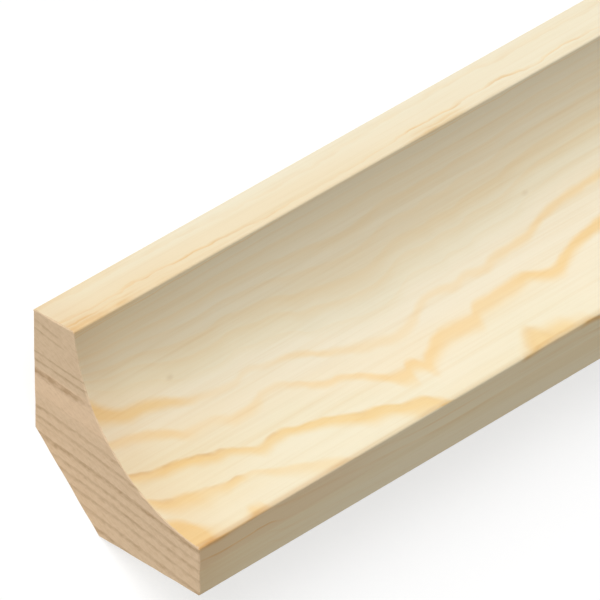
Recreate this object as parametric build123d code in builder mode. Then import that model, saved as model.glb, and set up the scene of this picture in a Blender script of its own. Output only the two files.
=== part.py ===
"""Scotia moulding: one length of planed softwood trim that covers an inside corner.

Two legs at a right angle lie against the two surfaces of the corner. A flat lip closes each leg, a
hollow cove runs between the lips, and the back corner is cut off at 45 degrees so that the legs sit
tight where the real corner isn't sharp.

A leg's outer face is too narrow to stand on: the section's weight lies almost over the edge of the
cut. So the moulding lies on the cut, with the cove facing up and a leg rising on each side.

Row frame, in millimetres: +X runs along the length, +Y is the side of the wall leg, -Y is the side
of the floor leg, and +Z is up. The origin is the middle of the cut face.
"""

import os
from math import sqrt

from build123d import *

# Driving dimensions
length = 2400.0  # stock length
wall_leg = 28.0  # the leg against the wall, from the sharp corner to its lip
floor_leg = 28.0  # the leg against the floor, from the sharp corner to its lip
lip = 7.0  # width of the flat lip at each end of the cove
cove_radius = 22.6  # radius of the hollow
corner_cut = 10.8  # how far the 45 degree cut reaches along each leg
arris_radius = 0.25  # easing of the four square arrises; the two cut arrises stay crisp

# The plane of one sawn end, turned so that the cut lies level. Its x runs out along the wall leg and
# its y along the floor leg, both from the sharp corner that the cut takes away.
sharp_corner = (-length / 2, 0, -corner_cut / sqrt(2))
end_plane = Plane(origin=sharp_corner, x_dir=(0, 1, 1), z_dir=(1, 0, 0))

with BuildSketch(end_plane) as section:
    with BuildLine():
        cove = RadiusArc((wall_leg, lip), (lip, floor_leg), cove_radius)
        Polyline(
            cove @ 1,
            (0, floor_leg),
            (0, corner_cut),
            (corner_cut, 0),
            (wall_leg, 0),
            cove @ 0,
        )
    make_face()

with BuildPart() as moulding:
    extrude(section.sketch, amount=length)
    long_arrises = moulding.edges().filter_by(Axis.X)
    cut_arrises = long_arrises.group_by(Axis.Z)[0]
    fillet(long_arrises - cut_arrises, radius=arris_radius)

moulding.part.label = "scotia_moulding"

os.makedirs("parts", exist_ok=True)
export_step(moulding.part, "parts/scotia_moulding.step")
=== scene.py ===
"""Looks of the scotia moulding: its mesh, its pine, a plain floor, soft light and the camera.

Metres, in the CAD model's frame: +X along the length, +Y the side of the wall leg, -Y the side of
the floor leg, +Z up out of the cove. The sawn end nearest the camera is at -X.
"""

import math
import random
from typing import NamedTuple

import bmesh
import bpy
from mathutils import Euler, Matrix, Vector


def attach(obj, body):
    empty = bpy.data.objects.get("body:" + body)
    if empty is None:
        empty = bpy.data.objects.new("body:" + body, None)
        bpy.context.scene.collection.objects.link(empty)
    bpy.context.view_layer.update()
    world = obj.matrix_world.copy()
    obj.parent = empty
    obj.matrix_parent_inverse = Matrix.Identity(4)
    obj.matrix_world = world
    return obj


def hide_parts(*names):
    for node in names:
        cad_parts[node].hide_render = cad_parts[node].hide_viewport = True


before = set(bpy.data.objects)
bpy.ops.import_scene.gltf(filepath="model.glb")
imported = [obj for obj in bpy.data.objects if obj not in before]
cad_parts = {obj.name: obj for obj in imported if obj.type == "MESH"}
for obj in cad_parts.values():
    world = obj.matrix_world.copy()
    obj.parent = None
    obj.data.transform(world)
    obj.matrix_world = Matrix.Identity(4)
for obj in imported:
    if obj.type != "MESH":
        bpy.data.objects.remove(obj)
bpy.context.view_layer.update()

MM = 0.001

# Sizes of the section, in millimetres, as in the CAD model
LENGTH = 2400.0
LEG = 28.0
LIP = 7.0
COVE_RADIUS = 22.6
CORNER_CUT = 10.8
ARRIS_RADIUS = 0.25
SHARP_CORNER_DROP = CORNER_CUT / math.sqrt(2)  # the sharp corner would lie this far under the cut

# How many sides the mesh has over each stretch of the section's outline
FLAT_SIDES = 9
LIP_SIDES = 5
ARRIS_SIDES = 5
COVE_SIDES = 56

# Along the length, in millimetres
STATION = 20.0  # the mesh has a ring of points this often
END_BEVEL = 0.12  # the saw's ragged edge

# The bake's map: the length in rows, one above the other, and the two ends in a strip on top. The
# first row is short and tall, because the near end is what the photograph shows. A row has the
# lengths that it starts and ends at, and its share of the map's height.
ROWS = [(0, 120, 0.37), (120, 880, 0.18), (880, 1640, 0.18), (1640, 2400, 0.18)]
MARGIN = 0.004
ENDS_STRIP = 0.09
END_SCALE = 0.0047  # share of the map for a millimetre of an end face
NEAR_END_MIDDLE = 0.1  # where the ends' middles lie across the map
FAR_END_MIDDLE = 0.3


# Mesh

def in_row_frame(along, a, b):
    """A point `along` mm from the near end, a mm out along the wall leg and b mm along the floor leg."""
    y = (a - b) / math.sqrt(2)
    z = (a + b) / math.sqrt(2) - SHARP_CORNER_DROP
    return Vector(((along - LENGTH / 2) * MM, y * MM, z * MM))


def turned(a, b):
    """A direction in the section, turned into the row frame."""
    return Vector((0, a - b, a + b)) / math.sqrt(2)


def straight(start, end, count):
    """Points from start to end, each with the face's outward normal."""
    run = Vector(end) - Vector(start)
    normal = Vector((run.y, -run.x)).normalized()
    return [(Vector(start) + run * i / count, normal) for i in range(count + 1)]


def arc(centre, radius, first, last, count, hollow=False):
    """Points on an arc between two angles in degrees, each with the outward normal of the wood."""
    points = []
    for i in range(count + 1):
        angle = math.radians(first + (last - first) * i / count)
        out = Vector((math.cos(angle), math.sin(angle)))
        points.append((Vector(centre) + out * radius, -out if hollow else out))
    return points


def cove_middle():
    """The cove's centre lies on the section's diagonal, this far out along each leg."""
    half_chord = (LEG - LIP) / math.sqrt(2)
    beyond = math.sqrt(COVE_RADIUS ** 2 - half_chord ** 2)
    return (LEG + LIP) / 2 + beyond / math.sqrt(2)


def section_runs():
    """The section's outline, anticlockwise from the wall leg's foot, as runs of (point, normal)."""
    r = ARRIS_RADIUS
    c = cove_middle()
    inner = c - math.sqrt((COVE_RADIUS + r) ** 2 - (c - LEG + r) ** 2)  # centre of a lip's inner arris
    lean = math.degrees(math.atan2(c - inner, c - LEG + r))  # where that arris meets the cove
    return [
        straight((CORNER_CUT, 0), (LEG - r, 0), FLAT_SIDES),
        arc((LEG - r, r), r, -90, 0, ARRIS_SIDES),
        straight((LEG, r), (LEG, inner), LIP_SIDES),
        arc((LEG - r, inner), r, 0, lean, ARRIS_SIDES),
        arc((c, c), COVE_RADIUS, 180 + lean, 270 - lean, COVE_SIDES, hollow=True),
        arc((inner, LEG - r), r, 90 - lean, 90, ARRIS_SIDES),
        straight((inner, LEG), (r, LEG), LIP_SIDES),
        arc((r, LEG - r), r, 90, 180, ARRIS_SIDES),
        straight((0, LEG - r), (0, CORNER_CUT), FLAT_SIDES),
        straight((0, CORNER_CUT), (CORNER_CUT, 0), FLAT_SIDES),
    ]


class Side(NamedTuple):
    """A side of the outline's polygon: its first point, its two normals and the girth up to its ends."""

    point: Vector
    normal: Vector
    next_normal: Vector
    low: float
    high: float


def outline():
    """The outline's sides, and the whole girth."""
    sides = []
    girth = 0.0
    for run in section_runs():
        for (p, n), (q, m) in zip(run, run[1:]):
            sides.append(Side(p, n, m, girth, girth + (q - p).length))
            girth += (q - p).length
    return sides, girth


def row_place(row, along, girth, whole_girth):
    """Place on the map of a point of the long faces."""
    start, end, share = ROWS[row]
    foot = sum(lower[2] for lower in ROWS[:row])
    u = MARGIN + (along - start) / (end - start) * (1 - 2 * MARGIN)
    v = foot + MARGIN + girth / whole_girth * (share - 2 * MARGIN)
    return u, v


def end_place(far, a, b):
    """Place on the map of a point of an end face, drawn with its cut level."""
    across = (a - b) / math.sqrt(2)
    up = (a + b) / math.sqrt(2) - SHARP_CORNER_DROP
    middle = FAR_END_MIDDLE if far else NEAR_END_MIDDLE
    return middle + across * END_SCALE, 1 - ENDS_STRIP + MARGIN + up * END_SCALE


def add_long_faces(bm, places, normals, sides, whole_girth, worn):
    """Adds the faces along the length. Returns the points around their near and far ends."""
    stations = round(LENGTH / STATION)
    alongs = [LENGTH * s / stations for s in range(stations + 1)]
    # they stop short of the sawn faces by the ragged edges' widths
    moved = {0: worn[False], stations: [-width for width in worn[True]]}
    rings = []
    for s, along in enumerate(alongs):
        moves = moved.get(s, [0.0] * len(sides))
        rings.append([
            bm.verts.new(in_row_frame(along + move, side.point.x, side.point.y))
            for side, move in zip(sides, moves)
        ])
    for s in range(stations):
        start, end = alongs[s], alongs[s + 1]
        row = sum(start >= row_end for _, row_end, _ in ROWS)
        for i, side in enumerate(sides):
            j = (i + 1) % len(sides)
            face = bm.faces.new((rings[s][i], rings[s][j], rings[s + 1][j], rings[s + 1][i]))
            face.smooth = True
            first = (side.low, side.normal)
            second = (side.high, side.next_normal)
            corners = ((start, *first), (start, *second), (end, *second), (end, *first))
            for loop, (along, girth, normal) in zip(face.loops, corners):
                loop[places].uv = row_place(row, along, girth, whole_girth)
                normals[face, loop.vert] = turned(normal.x, normal.y)
    return rings[0], rings[-1]


def add_sawn_end(bm, places, sides, far, outer, worn):
    """Adds a sawn end: the ragged edge, inwards from the long faces' points, and the face inside it."""
    along = LENGTH if far else 0.0
    inner_points = []
    for i, side in enumerate(sides):
        inward = -(side.normal + sides[i - 1].next_normal).normalized()
        inner_points.append(side.point + inward * worn[i])
    inner = [bm.verts.new(in_row_frame(along, q.x, q.y)) for q in inner_points]

    def add_face(verts, points):
        """The near end's faces run the other way round, so that they face outwards."""
        if not far:
            verts, points = verts[::-1], points[::-1]
        face = bm.faces.new(verts)
        for loop, p in zip(face.loops, points):
            loop[places].uv = end_place(far, p.x, p.y)

    for i in range(len(sides)):
        j = (i + 1) % len(sides)
        points = [sides[i].point, sides[j].point, inner_points[j], inner_points[i]]
        add_face([outer[i], outer[j], inner[j], inner[i]], points)
    add_face(inner, inner_points)


def build_moulding():
    """The moulding's mesh, with its normals and its bake map."""
    sides, whole_girth = outline()
    rng = random.Random(11)
    worn = {far: [END_BEVEL * rng.uniform(0.5, 1.5) for _ in sides] for far in (False, True)}
    bm = bmesh.new()
    places = bm.loops.layers.uv.new("OFBake")
    normals = {}
    near_ring, far_ring = add_long_faces(bm, places, normals, sides, whole_girth, worn)
    add_sawn_end(bm, places, sides, False, near_ring, worn[False])
    add_sawn_end(bm, places, sides, True, far_ring, worn[True])

    bm.normal_update()
    mesh = bpy.data.meshes.new("scotia_moulding_stock")
    bm.verts.index_update()
    bm.faces.index_update()
    corner_normals = []
    for face in bm.faces:
        for loop in face.loops:
            corner_normals.append(normals.get((face, loop.vert), face.normal).copy())
    bm.to_mesh(mesh)
    bm.free()
    mesh.normals_split_custom_set(corner_normals)
    piece = bpy.data.objects.new("moulding", mesh)
    bpy.context.scene.collection.objects.link(piece)
    return piece


# Node helpers

CURVE_STEPS = 255  # a curve node holds this many steps


class Graph:
    """Adds nodes to a node tree. An input is a socket, a number or a vector."""

    def __init__(self, tree):
        self.tree = tree

    def node(self, kind, inputs=(), **settings):
        made = self.tree.nodes.new(kind)
        for name, value in settings.items():
            setattr(made, name, value)
        for slot, value in dict(inputs).items():
            if isinstance(value, bpy.types.NodeSocket):
                self.tree.links.new(value, made.inputs[slot])
            else:
                made.inputs[slot].default_value = value
        return made

    def math(self, operation, *values, clamp=False):
        made = self.node("ShaderNodeMath", enumerate(values), operation=operation, use_clamp=clamp)
        return made.outputs[0]

    def add(self, a, b):
        return self.math("ADD", a, b)

    def sub(self, a, b):
        return self.math("SUBTRACT", a, b)

    def mul(self, a, b):
        return self.math("MULTIPLY", a, b)

    def div(self, a, b, clamp=False):
        return self.math("DIVIDE", a, b, clamp=clamp)

    def least(self, a, b):
        return self.math("MINIMUM", a, b)

    def most(self, a, b):
        return self.math("MAXIMUM", a, b)

    def fade(self, value, low, high, start=0.0, end=1.0):
        """Goes smoothly from start to end as value goes from low to high."""
        ends = {"Value": value, "From Min": low, "From Max": high, "To Min": start, "To Max": end}
        return self.node("ShaderNodeMapRange", ends, interpolation_type="SMOOTHSTEP").outputs["Result"]

    def curve(self, value, points, low, high, floor, ceiling, handle="AUTO_CLAMPED"):
        """A curve through (input, output) points, for inputs low to high and outputs floor to ceiling."""
        made = self.node("ShaderNodeFloatCurve", {"Factor": 1.0})
        share = self.div(self.sub(value, low), high - low, clamp=True)
        self.tree.links.new(share, made.inputs["Value"])
        line = made.mapping.curves[0]
        places = [((x - low) / (high - low), (y - floor) / (ceiling - floor)) for x, y in points]
        while len(line.points) < len(places):
            line.points.new(0.5, 0.5)
        for point, place in zip(line.points, places):
            point.location = place
            point.handle_type = handle
        made.mapping.update()
        return self.add(self.mul(made.outputs[0], ceiling - floor), floor)

    def ramp(self, value, stops):
        """A ramp of greys that eases from one (position, grey) stop to the next."""
        made = self.node("ShaderNodeValToRGB", {"Fac": value})
        ramp = made.color_ramp
        ramp.interpolation = "EASE"
        while len(ramp.elements) < len(stops):
            ramp.elements.new(0.5)
        for element, (place, grey) in zip(ramp.elements, stops):
            element.position = place
            element.color = (grey, grey, grey, 1)
        return made.outputs["Color"]

    def noise(self, vector, detail=2.0, roughness=0.5):
        inputs = {"Vector": vector, "Scale": 1.0, "Detail": detail, "Roughness": roughness}
        return self.node("ShaderNodeTexNoise", inputs).outputs["Fac"]

    def vector(self, x, y, z):
        return self.node("ShaderNodeCombineXYZ", {"X": x, "Y": y, "Z": z}).outputs[0]

    def mix(self, factor, first, second, blend="MIX"):
        """Mixes two colours; a colour is a socket or (r, g, b)."""
        made = self.node("ShaderNodeMix", data_type="RGBA", blend_type=blend)
        for slot, value in ((0, factor), (6, first), (7, second)):
            if isinstance(value, bpy.types.NodeSocket):
                self.tree.links.new(value, made.inputs[slot])
            else:
                made.inputs[slot].default_value = (*value, 1) if isinstance(value, tuple) else value
        return made.outputs[2]

    def tint(self, colour, by, factor):
        """Multiplies a colour by another where the factor is 1, and less where it is smaller."""
        return self.mix(factor, colour, by, "MULTIPLY")


def new_material(name, graph=Graph):
    material = bpy.data.materials.new(name)
    material.use_nodes = True
    material.node_tree.nodes.clear()
    return material, graph(material.node_tree)


# Pine: the growth rings, traced over the stretch that the photograph shows. A ring is known
# by its height, in mm, among the rings at the near end.

TRACED = 100  # length of that stretch

TILT = 0.13  # the rings fall this much for each millimetre towards the floor leg's tip
TILT_FROM = 8.0
LIP_TILT = 0.2  # and this much more in the wall leg's lip
LIP_TILT_FROM = 4.0
LIP_TILT_FADE = (19, 27)  # up the wall leg
NEAR_BOW = 0.0018  # how they bow at the near end
BOW_MIDDLE = 10.0
BOW_END = 24.0
NEAR_BOW_FADE = (0, 8)  # along the length
FRONT_DROP = 0.005  # and level out again towards the floor leg's tip, further along
DROP_FROM = 20.0
FRONT_DROP_FADE = (2, 10)

WANDER_FADE = (75, 220)  # past the traced stretch the rings wander up and down
WANDER = 16.0
PARTING = 3.0  # and towards and away from each other
LEAST_APART = 0.3
HIGHEST_EDGE = 24


class StrongRing(NamedTuple):
    """A latewood ring that shows as a band. Each list is against the distance from the near end."""

    height: float  # among the rings, at its upper edge
    sway: float  # share of the wood's wander along the length
    peak: float  # where across the band it is deepest
    places: list  # its upper edge: down the cove from the top lip, and on down the floor leg's lip
    widths: list
    strengths: list
    dark: list  # how dark its upper edge is


STRONG_RINGS = [
    StrongRing(
        19.0, 1.0, 0.5,
        [(0, 8.8), (2, 10.5), (4, 11.6), (6, 11.9), (8, 12.2), (10, 12.9), (12, 13.9), (14, 14.6),
         (17, 15.1), (20, 15.4), (23, 14.9), (26, 15.5), (30, 16.1), (32, 16.7), (34, 17.8), (36, 18.2),
         (40, 19.2), (45, 19.9), (48, 19.3), (50, 18.3), (52, 17.9), (56, 18.4), (58, 18.0), (61, 18.4),
         (63, 17.8), (69, 17.6), (73, 16.4), (79, 15.7), (88, 15.5), (100, 16.5)],
        [(0, 2.8), (4, 1.6), (8, 1.4), (12, 1.0), (20, 0.7), (33, 0.65), (40, 0.8), (56, 0.7), (68, 0.8),
         (100, 0.8)],
        [(0, 1.2), (9, 1.1), (13, 0.7), (17, 0.4), (24, 0.3), (30, 0.5), (33, 0.55), (38, 0.4), (60, 0.45),
         (66, 0.6), (100, 0.7)],
        [(0, 0.0), (100, 0.0)],
    ),
    StrongRing(
        15.75, 0.9, 0.4,
        [(0, 14.5), (3, 15.0), (6, 15.7), (8, 16.5), (12, 17.9), (14, 17.9), (18, 18.9), (20, 18.9),
         (22, 18.6), (23, 18.2), (24, 18.2), (28, 19.3), (30, 20.4), (32, 21.1), (34, 21.4), (36, 22.2),
         (40, 24.4), (42, 24.8), (43, 24.1), (44, 24.3), (45, 25.0), (46, 24.4), (47, 23.9), (49, 22.9),
         (51, 22.6), (55, 22.9), (57, 21.8), (60, 21.8), (65, 21.6), (67, 22.2), (69, 22.9), (70, 23.0),
         (72, 22.3), (74, 21.6), (85, 20.5), (100, 21.5)],
        [(0, 0.9), (10, 0.85), (20, 0.8), (30, 0.55), (38, 0.45), (41, 0.65), (45, 0.65), (50, 0.8),
         (60, 0.85), (70, 0.65), (100, 0.8)],
        [(0, 0.6), (8, 0.7), (14, 0.35), (20, 0.5), (24, 0.35), (30, 0.55), (36, 0.65), (41, 0.8),
         (60, 0.85), (70, 1.0), (100, 1.0)],
        [(0, 0.0), (38, 0.0), (41, 0.2), (46, 0.0), (100, 0.1)],
    ),
    StrongRing(
        12.75, 0.8, 0.3,
        [(0, 19.1), (2, 19.8), (4, 20.2), (6, 20.3), (8, 20.7), (10, 21.3), (12, 21.9), (14, 22.2),
         (16, 23.1), (18, 24.1), (20, 23.8), (22, 23.7), (24, 24.2), (27, 24.8), (30, 25.9), (32, 26.8),
         (35, 27.5), (38, 28.8), (40, 29.2), (41, 29.6), (42, 30.6), (43, 31.8), (45, 32.8), (50, 33.1),
         (54, 32.8), (56, 31.8), (57, 30.8), (58, 29.6), (59, 28.7), (60, 28.3), (61, 28.9), (62, 29.4),
         (64, 29.4), (66, 30.5), (68, 32.0), (72, 33.2), (82, 31.0), (90, 29.5), (100, 31.0)],
        [(0, 0.65), (8, 0.7), (14, 0.55), (20, 0.45), (32, 0.42), (38, 0.3), (44, 0.3), (52, 0.5), (58, 0.8),
         (66, 0.8), (80, 0.6), (100, 0.6)],
        [(0, 0.7), (3, 0.8), (8, 1.0), (14, 0.8), (24, 1.0), (30, 1.1), (36, 1.1), (41, 1.0), (43, 0.5),
         (45, 0.1), (54, 0.1), (56, 0.8), (58, 1.0), (100, 1.0)],
        [(0, 0.8), (2, 0.9), (4, 0.35), (5, 0.7), (8, 0.8), (9.5, 0.6), (10.5, 1.0), (13, 1.0), (14.5, 0.1),
         (19, 0.2), (20.5, 0.5), (22, 0.1), (30, 0.15), (32, 0.3), (36, 0.1), (40, 0.3), (43, 0.1),
         (58, 0.3), (61, 0.3), (63, 0.0), (100, 0.2)],
    ),
    StrongRing(
        11.0, 0.7, 0.3,
        [(0, 22.8), (1, 23.5), (2, 24.0), (4, 24.4), (6, 24.9), (8, 25.4), (11, 26.2), (13, 26.3),
         (15, 26.6), (16, 27.1), (18, 28.0), (20, 28.7), (22, 29.7), (24, 30.3), (26, 31.8), (28, 32.7),
         (32, 33.2), (38, 33.9), (45, 34.0), (64, 34.0), (72, 34.6), (82, 33.8), (100, 34.0)],
        [(0, 0.6), (5, 0.6), (9, 0.42), (12, 0.26), (18, 0.28), (24, 0.2), (32, 0.3), (100, 0.4)],
        [(0, 0.6), (2, 0.9), (5, 0.9), (8, 0.7), (12, 0.9), (14, 0.45), (17, 0.55), (24, 0.5), (27, 0.25),
         (38, 0.4), (43, 0.4), (50, 0.2), (100, 0.4)],
        [(0, 0.2), (1, 0.6), (2, 1.0), (3, 0.5), (4, 0.1), (8, 0.2), (11, 0.6), (13, 0.3), (15, 0.0),
         (36, 0.0), (38, 0.4), (43, 0.4), (46, 0.0), (100, 0.2)],
    ),
    StrongRing(
        10.25, 0.6, 0.2,
        [(0, 26.4), (1, 27.1), (2, 28.1), (3, 29.5), (4, 31.1), (5, 31.4), (6, 32.0), (8, 32.4), (9, 31.4),
         (10, 30.5), (11, 31.0), (12, 32.0), (14, 33.0), (20, 33.6), (25, 34.0), (30, 34.5), (45, 35.4),
         (60, 35.2), (80, 35.6), (100, 35.0)],
        [(0, 0.8), (4, 0.6), (10, 0.4), (20, 0.5), (100, 0.5)],
        [(0, 1.1), (3, 1.1), (5, 0.8), (7, 0.5), (9.5, 0.8), (11, 0.8), (13, 0.25), (100, 0.3)],
        [(0, 0.2), (4, 0.0), (14, 0.1), (100, 0.1)],
    ),
]
# The height of the first strong ring as the rings in the wall leg's lip have it
LIP_COURSE = [
    (0, 14.35), (12, 14.4), (20, 14.5), (27, 14.6), (33, 14.75), (45, 14.75), (55, 14.6), (60, 14.5),
    (74, 14.5), (78, 14.6), (100, 14.6),
]
LIP_SWAY = 0.25

# The fainter rings on the long faces: height of the upper edge, strength and width
RINGS = [
    (33.25, 0.7, 0.6), (32.75, 0.7, 0.15), (32.5, 0.85, 0.17), (31.25, 0.15, 0.3), (30.0, 0.25, 0.6),
    (28.25, 0.3, 0.9), (26.25, 0.22, 0.8), (24.25, 0.28, 1.0), (22.5, 0.22, 0.9), (20.75, 0.08, 0.5),
    (8.0, 0.8, 0.6), (6.75, 0.6, 0.8), (5.25, 0.5, 0.6), (3.5, 0.7, 0.8), (1.5, 0.6, 0.7),
]
# and the rings on the sawn ends, where other ones stand out: height of the upper edge and strength
DEEPEST_END_RING = 18.5
END_RINGS = [
    (33.0, 0.2), (31.25, 0.2), (30.0, 0.6), (28.25, 0.7), (25.5, 0.1), (22.25, 0.7), (20.25, 0.85),
    (DEEPEST_END_RING, 1.45), (15.75, 0.15), (13.75, 0.75), (12.0, 0.75), (11.0, 0.2), (9.75, 1.15),
    (8.0, 0.6), (6.75, 0.8), (5.25, 0.6), (3.5, 0.85), (1.5, 0.85),
]
RING_STEP = 0.25  # ring heights are whole steps, so that a curve can hold them
LOWEST = -24.0
HIGHEST = LOWEST + CURVE_STEPS * RING_STEP
MOST_RINGS = 51  # a curve has 5 steps for each
HIGHEST_VALUE = 20  # of what a ring is given: its gap, strength or width

# How strongly some of the fainter rings show along the length, by their height
COURSES = {
    33.25: [(0, 1.0), (8, 0.9), (12, 0.35), (26, 0.35), (31, 0.8), (36, 0.8), (41, 0.2), (54, 0.2), (58, 1.0),
            (65, 0.8), (70, 0.3), (100, 0.4)],
    32.75: [(0, 1.0), (9, 0.9), (13, 0.2), (36, 0.2), (54, 0.2), (62, 0.8), (74, 0.2), (100, 0.6)],
    32.5: [(0, 1.0), (27, 1.0), (36, 0.5), (42, 0.2), (54, 0.5), (60, 1.0), (75, 0.9), (100, 0.6)],
    8.0: [(0, 1.0), (12, 1.0), (15, 0.4), (100, 0.5)],
}

# Latewood across a ring, from its upper edge: (share of the width, depth)
LATE_PROFILE = [(0.0, 0.0), (0.1, 0.8), (0.22, 1.0), (0.5, 0.45), (0.8, 0.0)]
END_LATE_PROFILE = [(0.0, 0.0), (0.12, 0.8), (0.35, 1.0), (0.6, 0.5), (0.85, 0.0)]

# How much browner the lips' wood is along the length: the upper strip of the floor leg's lip, and
# the inner strip of the wall leg's lip
FRONT_BROWN = [(0, 1.0), (18, 1.0), (28, 0.6), (42, 0.0), (100, 0.0)]
CROWN_WARM = [(0, 0.4), (9, 0.7), (16, 1.0), (40, 0.8), (60, 0.5), (80, 0.1), (100, 0.0)]

# Dark specks in the cove: along, up the wall leg, along the floor leg
SPECKS = [(12.3, 17.2, 10.7), (72.5, 15.6, 12.0)]
SPECK_SQUEEZE = 0.6  # a speck is longer than wide by this

# Colours of the long faces
CREAM = (0.928, 0.848, 0.646)
NEAR_CREAM = (0.92, 0.803, 0.573)  # nearer the end
# and what they are multiplied by
END_TINT = (0.97, 0.935, 0.91)
BROAD_TINT = (0.995, 0.95, 0.87)
STREAK_TINT = (0.965, 0.92, 0.85)
FIBRE_TINT = (0.955, 0.93, 0.88)
# painted shade: the whole floor leg's lip is darkened
FRONT_LIP_PAINTED_SHADE = (0.915, 0.865, 0.79)
FRONT_BROWN_TINT = (0.965, 0.895, 0.84)
CROWN_WARM_TINT = (0.995, 0.955, 0.91)
OUTER_DULL_AND_PAINTED_SHADE = (0.916, 0.893, 0.879)  # darker above the strong rings: partly duller wood, partly painted shade in the upper cove under the wall leg's lip
MIDDLE_PAINTED_LIGHT = (1.03, 1.015, 1.03)  # and painted light between the first of them: a little brighter across the middle of the cove
LATE_TINT = (1.0, 0.83, 0.57)
EDGE_TINT = (0.86, 0.75, 0.66)
SPECK_TINT = (0.68, 0.56, 0.42)
# Colours of the sawn ends, from the lowest rings to the highest
END_INNER = (0.76, 0.565, 0.37)
END_MIDDLE = (0.82, 0.605, 0.40)
END_OUTER = (0.74, 0.555, 0.365)
# and what they are multiplied by
END_LATE_TINT = (0.66, 0.60, 0.52)
PORE_TINT = (0.90, 0.87, 0.83)
SAW_TINT = (0.95, 0.94, 0.92)


def smooth(value, low, high):
    """0 below low, 1 above high and smooth between."""
    share = min(max((value - low) / (high - low), 0.0), 1.0)
    return share * share * (3 - 2 * share)


def ring_height(along, down):
    """Height among the rings of a place on the surface, by its way down from the top lip's inner edge."""
    c = cove_middle()
    first = math.asin((c - LEG) / COVE_RADIUS)
    cove_length = COVE_RADIUS * (math.pi / 2 - 2 * first)
    if down <= cove_length:
        angle = first + down / COVE_RADIUS
        up_wall = c - COVE_RADIUS * math.sin(angle)
        up_floor = c - COVE_RADIUS * math.cos(angle)
    else:
        up_wall = LIP - (down - cove_length)
        up_floor = LEG
    height = up_wall + TILT * (up_floor - TILT_FROM)
    height += LIP_TILT * (up_floor - LIP_TILT_FROM) * smooth(up_wall, *LIP_TILT_FADE)
    height += NEAR_BOW * (min(up_floor, BOW_END) - BOW_MIDDLE) ** 2 * (1 - smooth(along, *NEAR_BOW_FADE))
    return height - FRONT_DROP * max(up_floor - DROP_FROM, 0) ** 2 * smooth(along, *FRONT_DROP_FADE)


def with_more(rings):
    """The rings, and more of them as far as the wood's wander can bring to the surface."""
    rng = random.Random(5)
    rings = sorted(rings)
    while rings[0][0] > LOWEST + 2:
        gap = RING_STEP * rng.randint(4, 8)
        rings.insert(0, (rings[0][0] - gap, rng.uniform(0.4, 0.8), rng.uniform(0.5, 0.9)))
    while rings[-1][0] < HIGHEST - 2.5:
        gap = RING_STEP * rng.randint(6, 10)
        rings.append((rings[-1][0] + gap, rng.uniform(0.2, 0.5), rng.uniform(0.5, 0.9)))
    return rings


class RingBands:
    """Finds, at a height among the rings, the ring above and the depth under its upper edge."""

    def __init__(self, g, age, rings):
        self.g = g
        self.rings = with_more(rings)
        heights = [ring[0] for ring in self.rings]
        numbered = [(height, i) for i, height in enumerate(heights)]
        count = g.curve(age, numbered, LOWEST, HIGHEST, 0, len(heights) - 1, handle="VECTOR")
        self.number = g.math("CEIL", count)
        gaps = [1.0] + [upper - lower for lower, upper in zip(heights, heights[1:])]
        self.depth = g.mul(g.sub(self.number, count), self.value(gaps))

    def value(self, values):
        """The value of the ring that this point is under."""
        numbered = list(enumerate(values))
        return self.g.curve(self.number, numbered, 0, MOST_RINGS, 0, HIGHEST_VALUE, handle="VECTOR")

    def column(self, column):
        return self.value([ring[column] for ring in self.rings])

    def is_ring(self, height):
        return self.g.math("COMPARE", self.number, [ring[0] for ring in self.rings].index(height), 0.5)


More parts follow.
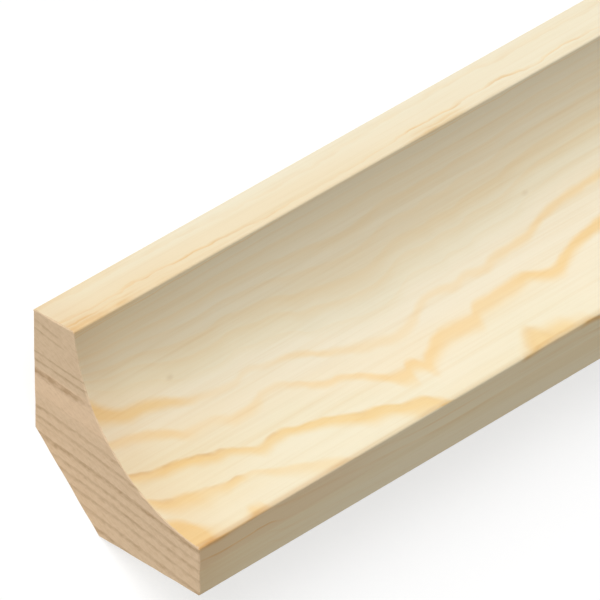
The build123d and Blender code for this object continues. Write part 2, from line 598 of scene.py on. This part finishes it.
class PineGraph(Graph):
    """The pine's nodes. They work from a point's place in the wood, in mm."""

    def __init__(self, tree):
        super().__init__(tree)
        xyz = self.node("ShaderNodeSeparateXYZ", {0: self.node("ShaderNodeTexCoord").outputs["Object"]})
        y = self.mul(xyz.outputs["Y"], 1 / MM)
        z = self.add(self.mul(xyz.outputs["Z"], 1 / MM), SHARP_CORNER_DROP)
        self.along = self.add(self.mul(xyz.outputs["X"], 1 / MM), LENGTH / 2)
        self.up_wall = self.mul(self.add(z, y), math.sqrt(0.5))
        self.up_floor = self.mul(self.sub(z, y), math.sqrt(0.5))
        self.front_lip = self.fade(self.up_floor, 27.0, 27.8)
        self.crown = self.fade(self.up_wall, 27.6, 27.95)  # the wall leg's lip
        self.wandering = self.fade(self.along, *WANDER_FADE)
        self.straighter = self.fade(self.up_wall, *LIP_TILT_FADE)
        self.height = self.wavy_height()
        self.edges = self.ring_edges()
        self.age = self.ring_age()

    def by_length(self, points, ceiling=1):
        """A curve through (distance from the near end, output) points, for outputs up to the ceiling."""
        return self.curve(self.along, points, 0, TRACED, 0, ceiling)

    def grain(self, length, width, detail=2.0, roughness=0.5, shift=0.0):
        """Noise drawn out along the grain: `length` by `width` mm."""
        along = self.mul(self.add(self.along, shift), 1 / length)
        stretched = self.vector(along, self.mul(self.up_wall, 1 / width), self.mul(self.up_floor, 1 / width))
        return self.noise(stretched, detail=detail, roughness=roughness)

    def wandering_noise(self, length, detail=2.0, roughness=0.5, shift=0.0):
        """Noise from -0.5 to 0.5 that changes along the length only, past the traced stretch."""
        along = self.add(self.mul(self.along, 1 / length), shift)
        inputs = {"W": along, "Scale": 1.0, "Detail": detail, "Roughness": roughness}
        made = self.node("ShaderNodeTexNoise", inputs, noise_dimensions="1D")
        return self.mul(self.sub(made.outputs["Fac"], 0.5), self.wandering)

    def wavy_height(self):
        """The height among the rings, as the function ring_height has it, with waves and ripples."""
        lip_tilt = self.mul(self.sub(self.up_floor, LIP_TILT_FROM), self.straighter)
        height = self.add(self.up_wall, self.mul(self.sub(self.up_floor, TILT_FROM), TILT))
        height = self.add(height, self.mul(lip_tilt, LIP_TILT))
        from_middle = self.sub(self.least(self.up_floor, BOW_END), BOW_MIDDLE)
        bow = self.fade(self.along, *NEAR_BOW_FADE, NEAR_BOW, 0)
        height = self.add(height, self.mul(self.mul(from_middle, from_middle), bow))
        forward = self.most(self.sub(self.up_floor, DROP_FROM), 0.0)
        drop = self.fade(self.along, *FRONT_DROP_FADE, 0, FRONT_DROP)
        height = self.sub(height, self.mul(self.mul(forward, forward), drop))
        waves = self.sub(self.grain(8, 9, detail=2.5, roughness=0.55), 0.5)
        height = self.add(height, self.mul(waves, self.fade(self.along, 60, 110, 0.1, 0.75)))
        ripples = self.sub(self.grain(3.5, 2.5, shift=17.0), 0.5)
        return self.add(height, self.mul(ripples, self.fade(self.up_floor, 14, 27, 0.45, 0.06)))

    def ring_edges(self):
        """The heights of the strong rings' upper edges."""
        wander = self.mul(self.wandering_noise(210, detail=3.0, roughness=0.55), WANDER)
        parting = self.mul(self.wandering_noise(90, shift=31.7), PARTING)
        edges = []
        for ring in STRONG_RINGS:
            places = [(x, ring_height(x, down)) for x, down in ring.places]
            edge = self.add(self.by_length(places, HIGHEST_EDGE), self.mul(wander, ring.sway))
            if edges:
                edge = self.add(edge, self.mul(parting, 1.0 - ring.sway))
                edge = self.least(edge, self.sub(edges[-1], LEAST_APART))
            else:
                at_lip = self.add(self.by_length(LIP_COURSE, HIGHEST_EDGE), self.mul(wander, LIP_SWAY))
                edge = self.add(edge, self.mul(self.sub(at_lip, edge), self.straighter))
            edges.append(edge)
        return edges

    def ring_age(self):
        """The height with the strong rings in their places, which the fainter rings keep to."""
        age = self.add(self.most(self.sub(self.height, self.edges[0]), 0.0), STRONG_RINGS[-1].height)
        age = self.add(age, self.least(self.sub(self.height, self.edges[-1]), 0.0))
        placed = list(zip(STRONG_RINGS, self.edges))
        for (upper, above), (lower, below) in zip(placed, placed[1:]):
            share = self.div(self.sub(self.height, below), self.sub(above, below), clamp=True)
            age = self.add(age, self.mul(share, upper.height - lower.height))
        return age

    def faint_rings(self):
        """How deep in latewood a point lies, in the fainter rings."""
        bands = RingBands(self, self.age, RINGS)
        narrowing = self.fade(self.up_floor, 17, 26, 1.0, 0.45)  # towards the floor leg's lip
        width = self.mul(self.mul(bands.column(2), narrowing), 2.0)
        late = self.ramp(self.div(bands.depth, width), LATE_PROFILE)
        strength = bands.column(1)
        for height, course in COURSES.items():
            fading = self.sub(self.by_length(course), 1.0)
            strength = self.mul(strength, self.add(self.mul(fading, bands.is_ring(height)), 1.0))
        low_front = self.mul(self.fade(self.up_floor, 26.3, 27.6), self.fade(self.up_wall, 5.2, 3.0))
        return self.mul(self.mul(late, strength), self.sub(1.0, self.mul(low_front, 0.75)))

    def latewood(self):
        """How deep in latewood a point lies, and how far on the dark line at a strong ring's upper edge."""
        late = self.faint_rings()
        edge = 0.0
        for ring, here in zip(STRONG_RINGS, self.edges):
            across = self.div(self.sub(here, self.height), self.by_length(ring.widths, 4))
            showing = self.by_length(ring.strengths, 1.2)
            low_side = self.fade(across, ring.peak + 0.12, 1.3, 1.0, 0.0)
            band = self.mul(self.fade(across, -0.12, ring.peak), low_side)
            late = self.most(late, self.mul(band, showing))
            line = self.mul(self.fade(across, -0.05, 0.12), self.fade(across, 0.12, 0.5, 1.0, 0.0))
            line = self.mul(line, self.mul(showing, self.by_length(ring.dark)))
            edge = self.most(edge, line)
        on_lip = self.most(self.front_lip, self.crown)
        worn = self.mul(on_lip, self.fade(self.grain(7, 1.5, shift=90.0), 0.35, 0.62, 0.6, 0.0))
        late = self.mul(late, self.sub(1.0, worn))
        edge = self.most(edge, self.mul(self.mul(on_lip, late), 0.7))
        edge = self.mul(edge, self.fade(self.grain(3.5, 2.5, shift=60.0), 0.36, 0.6, 0.25, 1.0))
        late = self.mul(late, self.fade(self.grain(28, 7), 0.25, 0.75, 1.12, 0.85))
        return late, edge

    def specks(self):
        """The traced specks, and others past the traced stretch."""
        spread = [self.mul(self.add(self.along, 11.0), 0.03)]
        spread += [self.mul(up, 0.05) for up in (self.up_wall, self.up_floor)]
        cells = self.node("ShaderNodeTexVoronoi", {"Vector": self.vector(*spread), "Scale": 1.0})
        specks = self.mul(self.fade(cells.outputs["Distance"], 0.008, 0.035, 0.4, 0.0), self.wandering)
        squeezed = self.vector(self.mul(self.along, SPECK_SQUEEZE), self.up_wall, self.up_floor)
        for along, up_wall, up_floor in SPECKS:
            ends = {0: squeezed, 1: (along * SPECK_SQUEEZE, up_wall, up_floor)}
            away = self.node("ShaderNodeVectorMath", ends, operation="DISTANCE").outputs["Value"]
            specks = self.most(specks, self.fade(away, 0.0, 0.55, 0.3, 0.0))
        return specks

    def long_colour(self, late, edge, fibres):
        """Colour of the long faces."""
        broad = self.grain(60, 5, shift=-300.0)
        streaks = self.grain(65, 1.1, detail=3.0, roughness=0.6, shift=40.0)
        colour = self.mix(self.fade(self.along, 0, 26, 1, 0), CREAM, NEAR_CREAM)
        colour = self.tint(colour, END_TINT, self.fade(self.along, 0, 8, 1, 0))
        colour = self.tint(colour, BROAD_TINT, self.fade(broad, 0.35, 0.7, 0.0, 0.6))
        colour = self.tint(colour, STREAK_TINT, self.fade(streaks, 0.48, 0.7, 0.0, 0.6))
        # painted shade: the floor leg's lip darkened all over
        colour = self.tint(colour, FRONT_LIP_PAINTED_SHADE, self.front_lip)
        upper_strip = self.mul(self.front_lip, self.fade(self.up_wall, 3.4, 4.0))
        colour = self.tint(colour, FRONT_BROWN_TINT, self.mul(upper_strip, self.by_length(FRONT_BROWN)))
        inner_strip = self.mul(self.crown, self.fade(self.up_floor, 1.5, 3.5))
        colour = self.tint(colour, CROWN_WARM_TINT, self.mul(inner_strip, self.by_length(CROWN_WARM)))
        # partly duller wood, partly painted shade: darker above the strong rings, in the upper cove under the
        # wall leg's lip, less on the lip itself
        outer = self.mul(self.fade(self.age, 19.5, 25.0), self.sub(1.0, self.mul(self.crown, 0.6)))
        colour = self.tint(colour, OUTER_DULL_AND_PAINTED_SHADE, outer)
        # painted light: a little brighter across the middle of the cove, between the first strong rings
        middle = self.mul(self.fade(self.age, 13.0, 15.5), self.fade(self.age, 19.0, 21.0, 1.0, 0.0))
        colour = self.tint(colour, MIDDLE_PAINTED_LIGHT, middle)
        colour = self.tint(colour, LATE_TINT, late)
        colour = self.tint(colour, EDGE_TINT, edge)
        colour = self.tint(colour, SPECK_TINT, self.specks())
        return self.tint(colour, FIBRE_TINT, self.fade(fibres, 0.4, 0.75, 0.0, 0.5))

    def end_rings(self):
        """How deep in latewood a point of a sawn end lies."""
        bands = RingBands(self, self.age, END_RINGS)
        # the deepest ring fades before the cove, and the lip's rings show by the back only
        fading = self.mul(bands.is_ring(DEEPEST_END_RING), self.fade(self.up_floor, 6.5, 9.5, 0.0, 0.6))
        off_back = self.mul(self.fade(self.up_wall, 23.5, 24.5), self.fade(self.up_floor, 3.8, 5.5, 0.0, 0.7))
        strength = self.mul(bands.column(1), self.sub(1.0, self.most(fading, off_back)))
        place = self.vector(self.along, self.mul(self.up_wall, 1.6), self.mul(self.up_floor, 0.8))
        ragged = self.noise(place, detail=3.0, roughness=0.6)
        depth = self.add(bands.depth, self.mul(self.sub(ragged, 0.5), 0.5))
        width = self.add(self.mul(strength, 0.7), 0.4)
        late = self.mul(self.ramp(self.div(depth, width), END_LATE_PROFILE), strength)
        late = self.mul(late, self.fade(ragged, 0.3, 0.65, 1.0, 0.5))
        up_wall, up_floor = self.mul(self.up_wall, 0.9), self.mul(self.up_floor, 0.3)
        pieces = self.noise(self.vector(self.mul(self.along, 0.2), up_wall, up_floor))
        return self.mul(late, self.fade(pieces, 0.36, 0.62, 0.7, 1.1))

    def pores(self):
        """Fine grain of the sawn ends, drawn out along the rings."""
        across = self.mul(self.add(self.up_wall, self.mul(self.up_floor, 0.5)), 3.0)
        place = self.vector(self.mul(self.along, 0.2), across, self.up_floor)
        return self.noise(place, detail=4.0, roughness=0.65)

    def end_colour(self, late, pores):
        """Colour of the sawn ends."""
        over = self.mul(self.sub(self.up_wall, self.up_floor), 1.2)
        up = self.mul(self.add(self.up_wall, self.up_floor), 0.25)
        saw = self.noise(self.vector(over, up, 7.0))
        colour = self.mix(self.fade(self.age, 14.5, 16.0), END_INNER, END_MIDDLE)
        colour = self.mix(self.fade(self.age, 18.3, 18.8), colour, END_OUTER)
        colour = self.tint(colour, END_LATE_TINT, late)
        colour = self.tint(colour, PORE_TINT, self.fade(pores, 0.4, 0.7, 0.0, 0.8))
        return self.tint(colour, SAW_TINT, self.fade(saw, 0.35, 0.65, 0.0, 0.6))

    def sawn(self):
        """1 on the sawn ends, by the way the surface faces."""
        normal = self.node("ShaderNodeNewGeometry").outputs["Normal"]
        facing = self.node("ShaderNodeSeparateXYZ", {0: normal}).outputs["X"]
        return self.fade(self.math("ABSOLUTE", facing), 0.55, 0.75)


def pine():
    material, g = new_material("pine", PineGraph)
    late, edge = g.latewood()
    fibres = g.grain(14, 0.32, detail=4.0, roughness=0.6)
    end_late = g.end_rings()
    pores = g.pores()
    sawn = g.sawn()
    colour = g.mix(sawn, g.long_colour(late, edge, fibres), g.end_colour(end_late, pores))
    rough = g.add(g.sub(0.72, g.mul(late, 0.14)), g.mul(sawn, 0.12))
    relief = g.add(g.mul(fibres, 0.6), g.mul(late, 0.25))
    end_relief = g.add(g.mul(pores, 1.6), g.mul(end_late, 0.5))
    relief = g.node("ShaderNodeMix", {0: sawn, 2: relief, 3: end_relief}, data_type="FLOAT").outputs[0]
    bump = g.node("ShaderNodeBump", {"Height": relief, "Strength": 0.35, "Distance": 0.08 * MM})
    shader = g.node(
        "ShaderNodeBsdfPrincipled",
        {"Base Color": colour, "Roughness": rough, "Normal": bump.outputs[0], "Specular IOR Level": 0.3},
    )
    g.node("ShaderNodeOutputMaterial", {"Surface": shader.outputs[0]})
    return material


# Floor, world and light

FLOOR_HALF = 15.0
FLOOR_GREY = 0.8  # as it lights the moulding
FLOOR_SHOWN_GREY = 0.36  # and as it is seen: a part that takes the shadow, and a glow up to white
FLOOR_GLOW = 0.7
AMBIENT = 0.2
KEY_FROM = (-0.42, -0.23, 0.88)  # with the moulding standing on its floor leg
KEY_STRENGTH = 2.65
KEY_WIDTH = 50  # degrees


def seen_directly(g):
    """1 for rays that show the background: from the camera, or off or through something glossy."""
    path = g.node("ShaderNodeLightPath")
    seen = g.most(path.outputs["Is Camera Ray"], path.outputs["Is Glossy Ray"])
    return g.most(seen, path.outputs["Is Transmission Ray"])


def build_floor():
    bm = bmesh.new()
    corners = [(-FLOOR_HALF, -FLOOR_HALF, 0), (FLOOR_HALF, -FLOOR_HALF, 0)]
    corners += [(FLOOR_HALF, FLOOR_HALF, 0), (-FLOOR_HALF, FLOOR_HALF, 0)]
    bm.faces.new([bm.verts.new(c) for c in corners])
    mesh = bpy.data.meshes.new("floor")
    bm.to_mesh(mesh)
    bm.free()
    floor = bpy.data.objects.new("floor", mesh)
    bpy.context.scene.collection.objects.link(floor)
    material, g = new_material("floor")
    plain = g.node("ShaderNodeBsdfDiffuse", {"Color": (FLOOR_GREY, FLOOR_GREY, FLOOR_GREY, 1)})
    shown_colour = (FLOOR_SHOWN_GREY, FLOOR_SHOWN_GREY, FLOOR_SHOWN_GREY, 1)
    shown = g.node("ShaderNodeBsdfDiffuse", {"Color": shown_colour})
    glow = g.node("ShaderNodeEmission", {"Color": (1, 1, 1, 1), "Strength": FLOOR_GLOW})
    bright = g.node("ShaderNodeAddShader", {0: shown.outputs[0], 1: glow.outputs[0]})
    both = g.node("ShaderNodeMixShader", {0: seen_directly(g), 1: plain.outputs[0], 2: bright.outputs[0]})
    g.node("ShaderNodeOutputMaterial", {"Surface": both.outputs[0]})
    mesh.materials.append(material)


def build_world():
    world = bpy.data.worlds.new("studio")
    world.use_nodes = True
    world.node_tree.nodes.clear()
    g = Graph(world.node_tree)
    ambient = g.node("ShaderNodeBackground", {"Color": (1, 1, 1, 1), "Strength": AMBIENT})
    white = g.node("ShaderNodeBackground", {"Color": (1, 1, 1, 1), "Strength": 1.0})
    both = g.node("ShaderNodeMixShader", {0: seen_directly(g), 1: ambient.outputs[0], 2: white.outputs[0]})
    g.node("ShaderNodeOutputWorld", {"Surface": both.outputs[0]})
    bpy.context.scene.world = world


def lying(matrix_or_vector):
    """Turns what is given for the moulding standing on its floor leg, to how it lies on the cut."""
    return Matrix.Rotation(math.radians(-45), 3, "X") @ matrix_or_vector


def build_light():
    """One broad soft lamp, above the wall leg's lip."""
    towards = lying(Vector(KEY_FROM))
    lamp = bpy.data.lights.new("key", "SUN")
    lamp.energy = KEY_STRENGTH
    lamp.angle = math.radians(KEY_WIDTH)
    key = bpy.data.objects.new("key", lamp)
    key.rotation_mode = "QUATERNION"
    key.rotation_quaternion = towards.to_track_quat("Z", "Y")
    bpy.context.scene.collection.objects.link(key)


# Camera: the photograph's view, by a long lens, with the moulding standing on its floor leg

AZIMUTH = -45.189  # degrees off the length
ELEVATION = 34.687  # degrees above the floor leg's face
FOCAL_LENGTH = 641.95
SENSOR_WIDTH = 36.0
# Where the camera has the floor leg's outer corner at the near end: right, up and back, in mm
NEAREST_SEEN_AT = (-11.963, -35.302, -1274.5)


def build_camera():
    turn = lying(Euler((math.pi / 2 - math.radians(ELEVATION), 0, math.radians(AZIMUTH))).to_matrix())
    nearest = in_row_frame(0, 0, LEG)
    lens = bpy.data.cameras.new("camera")
    lens.lens = FOCAL_LENGTH
    lens.sensor_width = SENSOR_WIDTH
    camera = bpy.data.objects.new("camera", lens)
    place = nearest - turn @ (Vector(NEAREST_SEEN_AT) * MM)
    camera.matrix_world = Matrix.Translation(place) @ turn.to_4x4()
    bpy.context.scene.collection.objects.link(camera)
    bpy.context.scene.camera = camera


moulding = build_moulding()
moulding.data.materials.append(pine())
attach(moulding, "root")
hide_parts("scotia_moulding")

build_floor()
build_world()
build_light()
build_camera()
bpy.context.scene.view_settings.view_transform = "Standard"
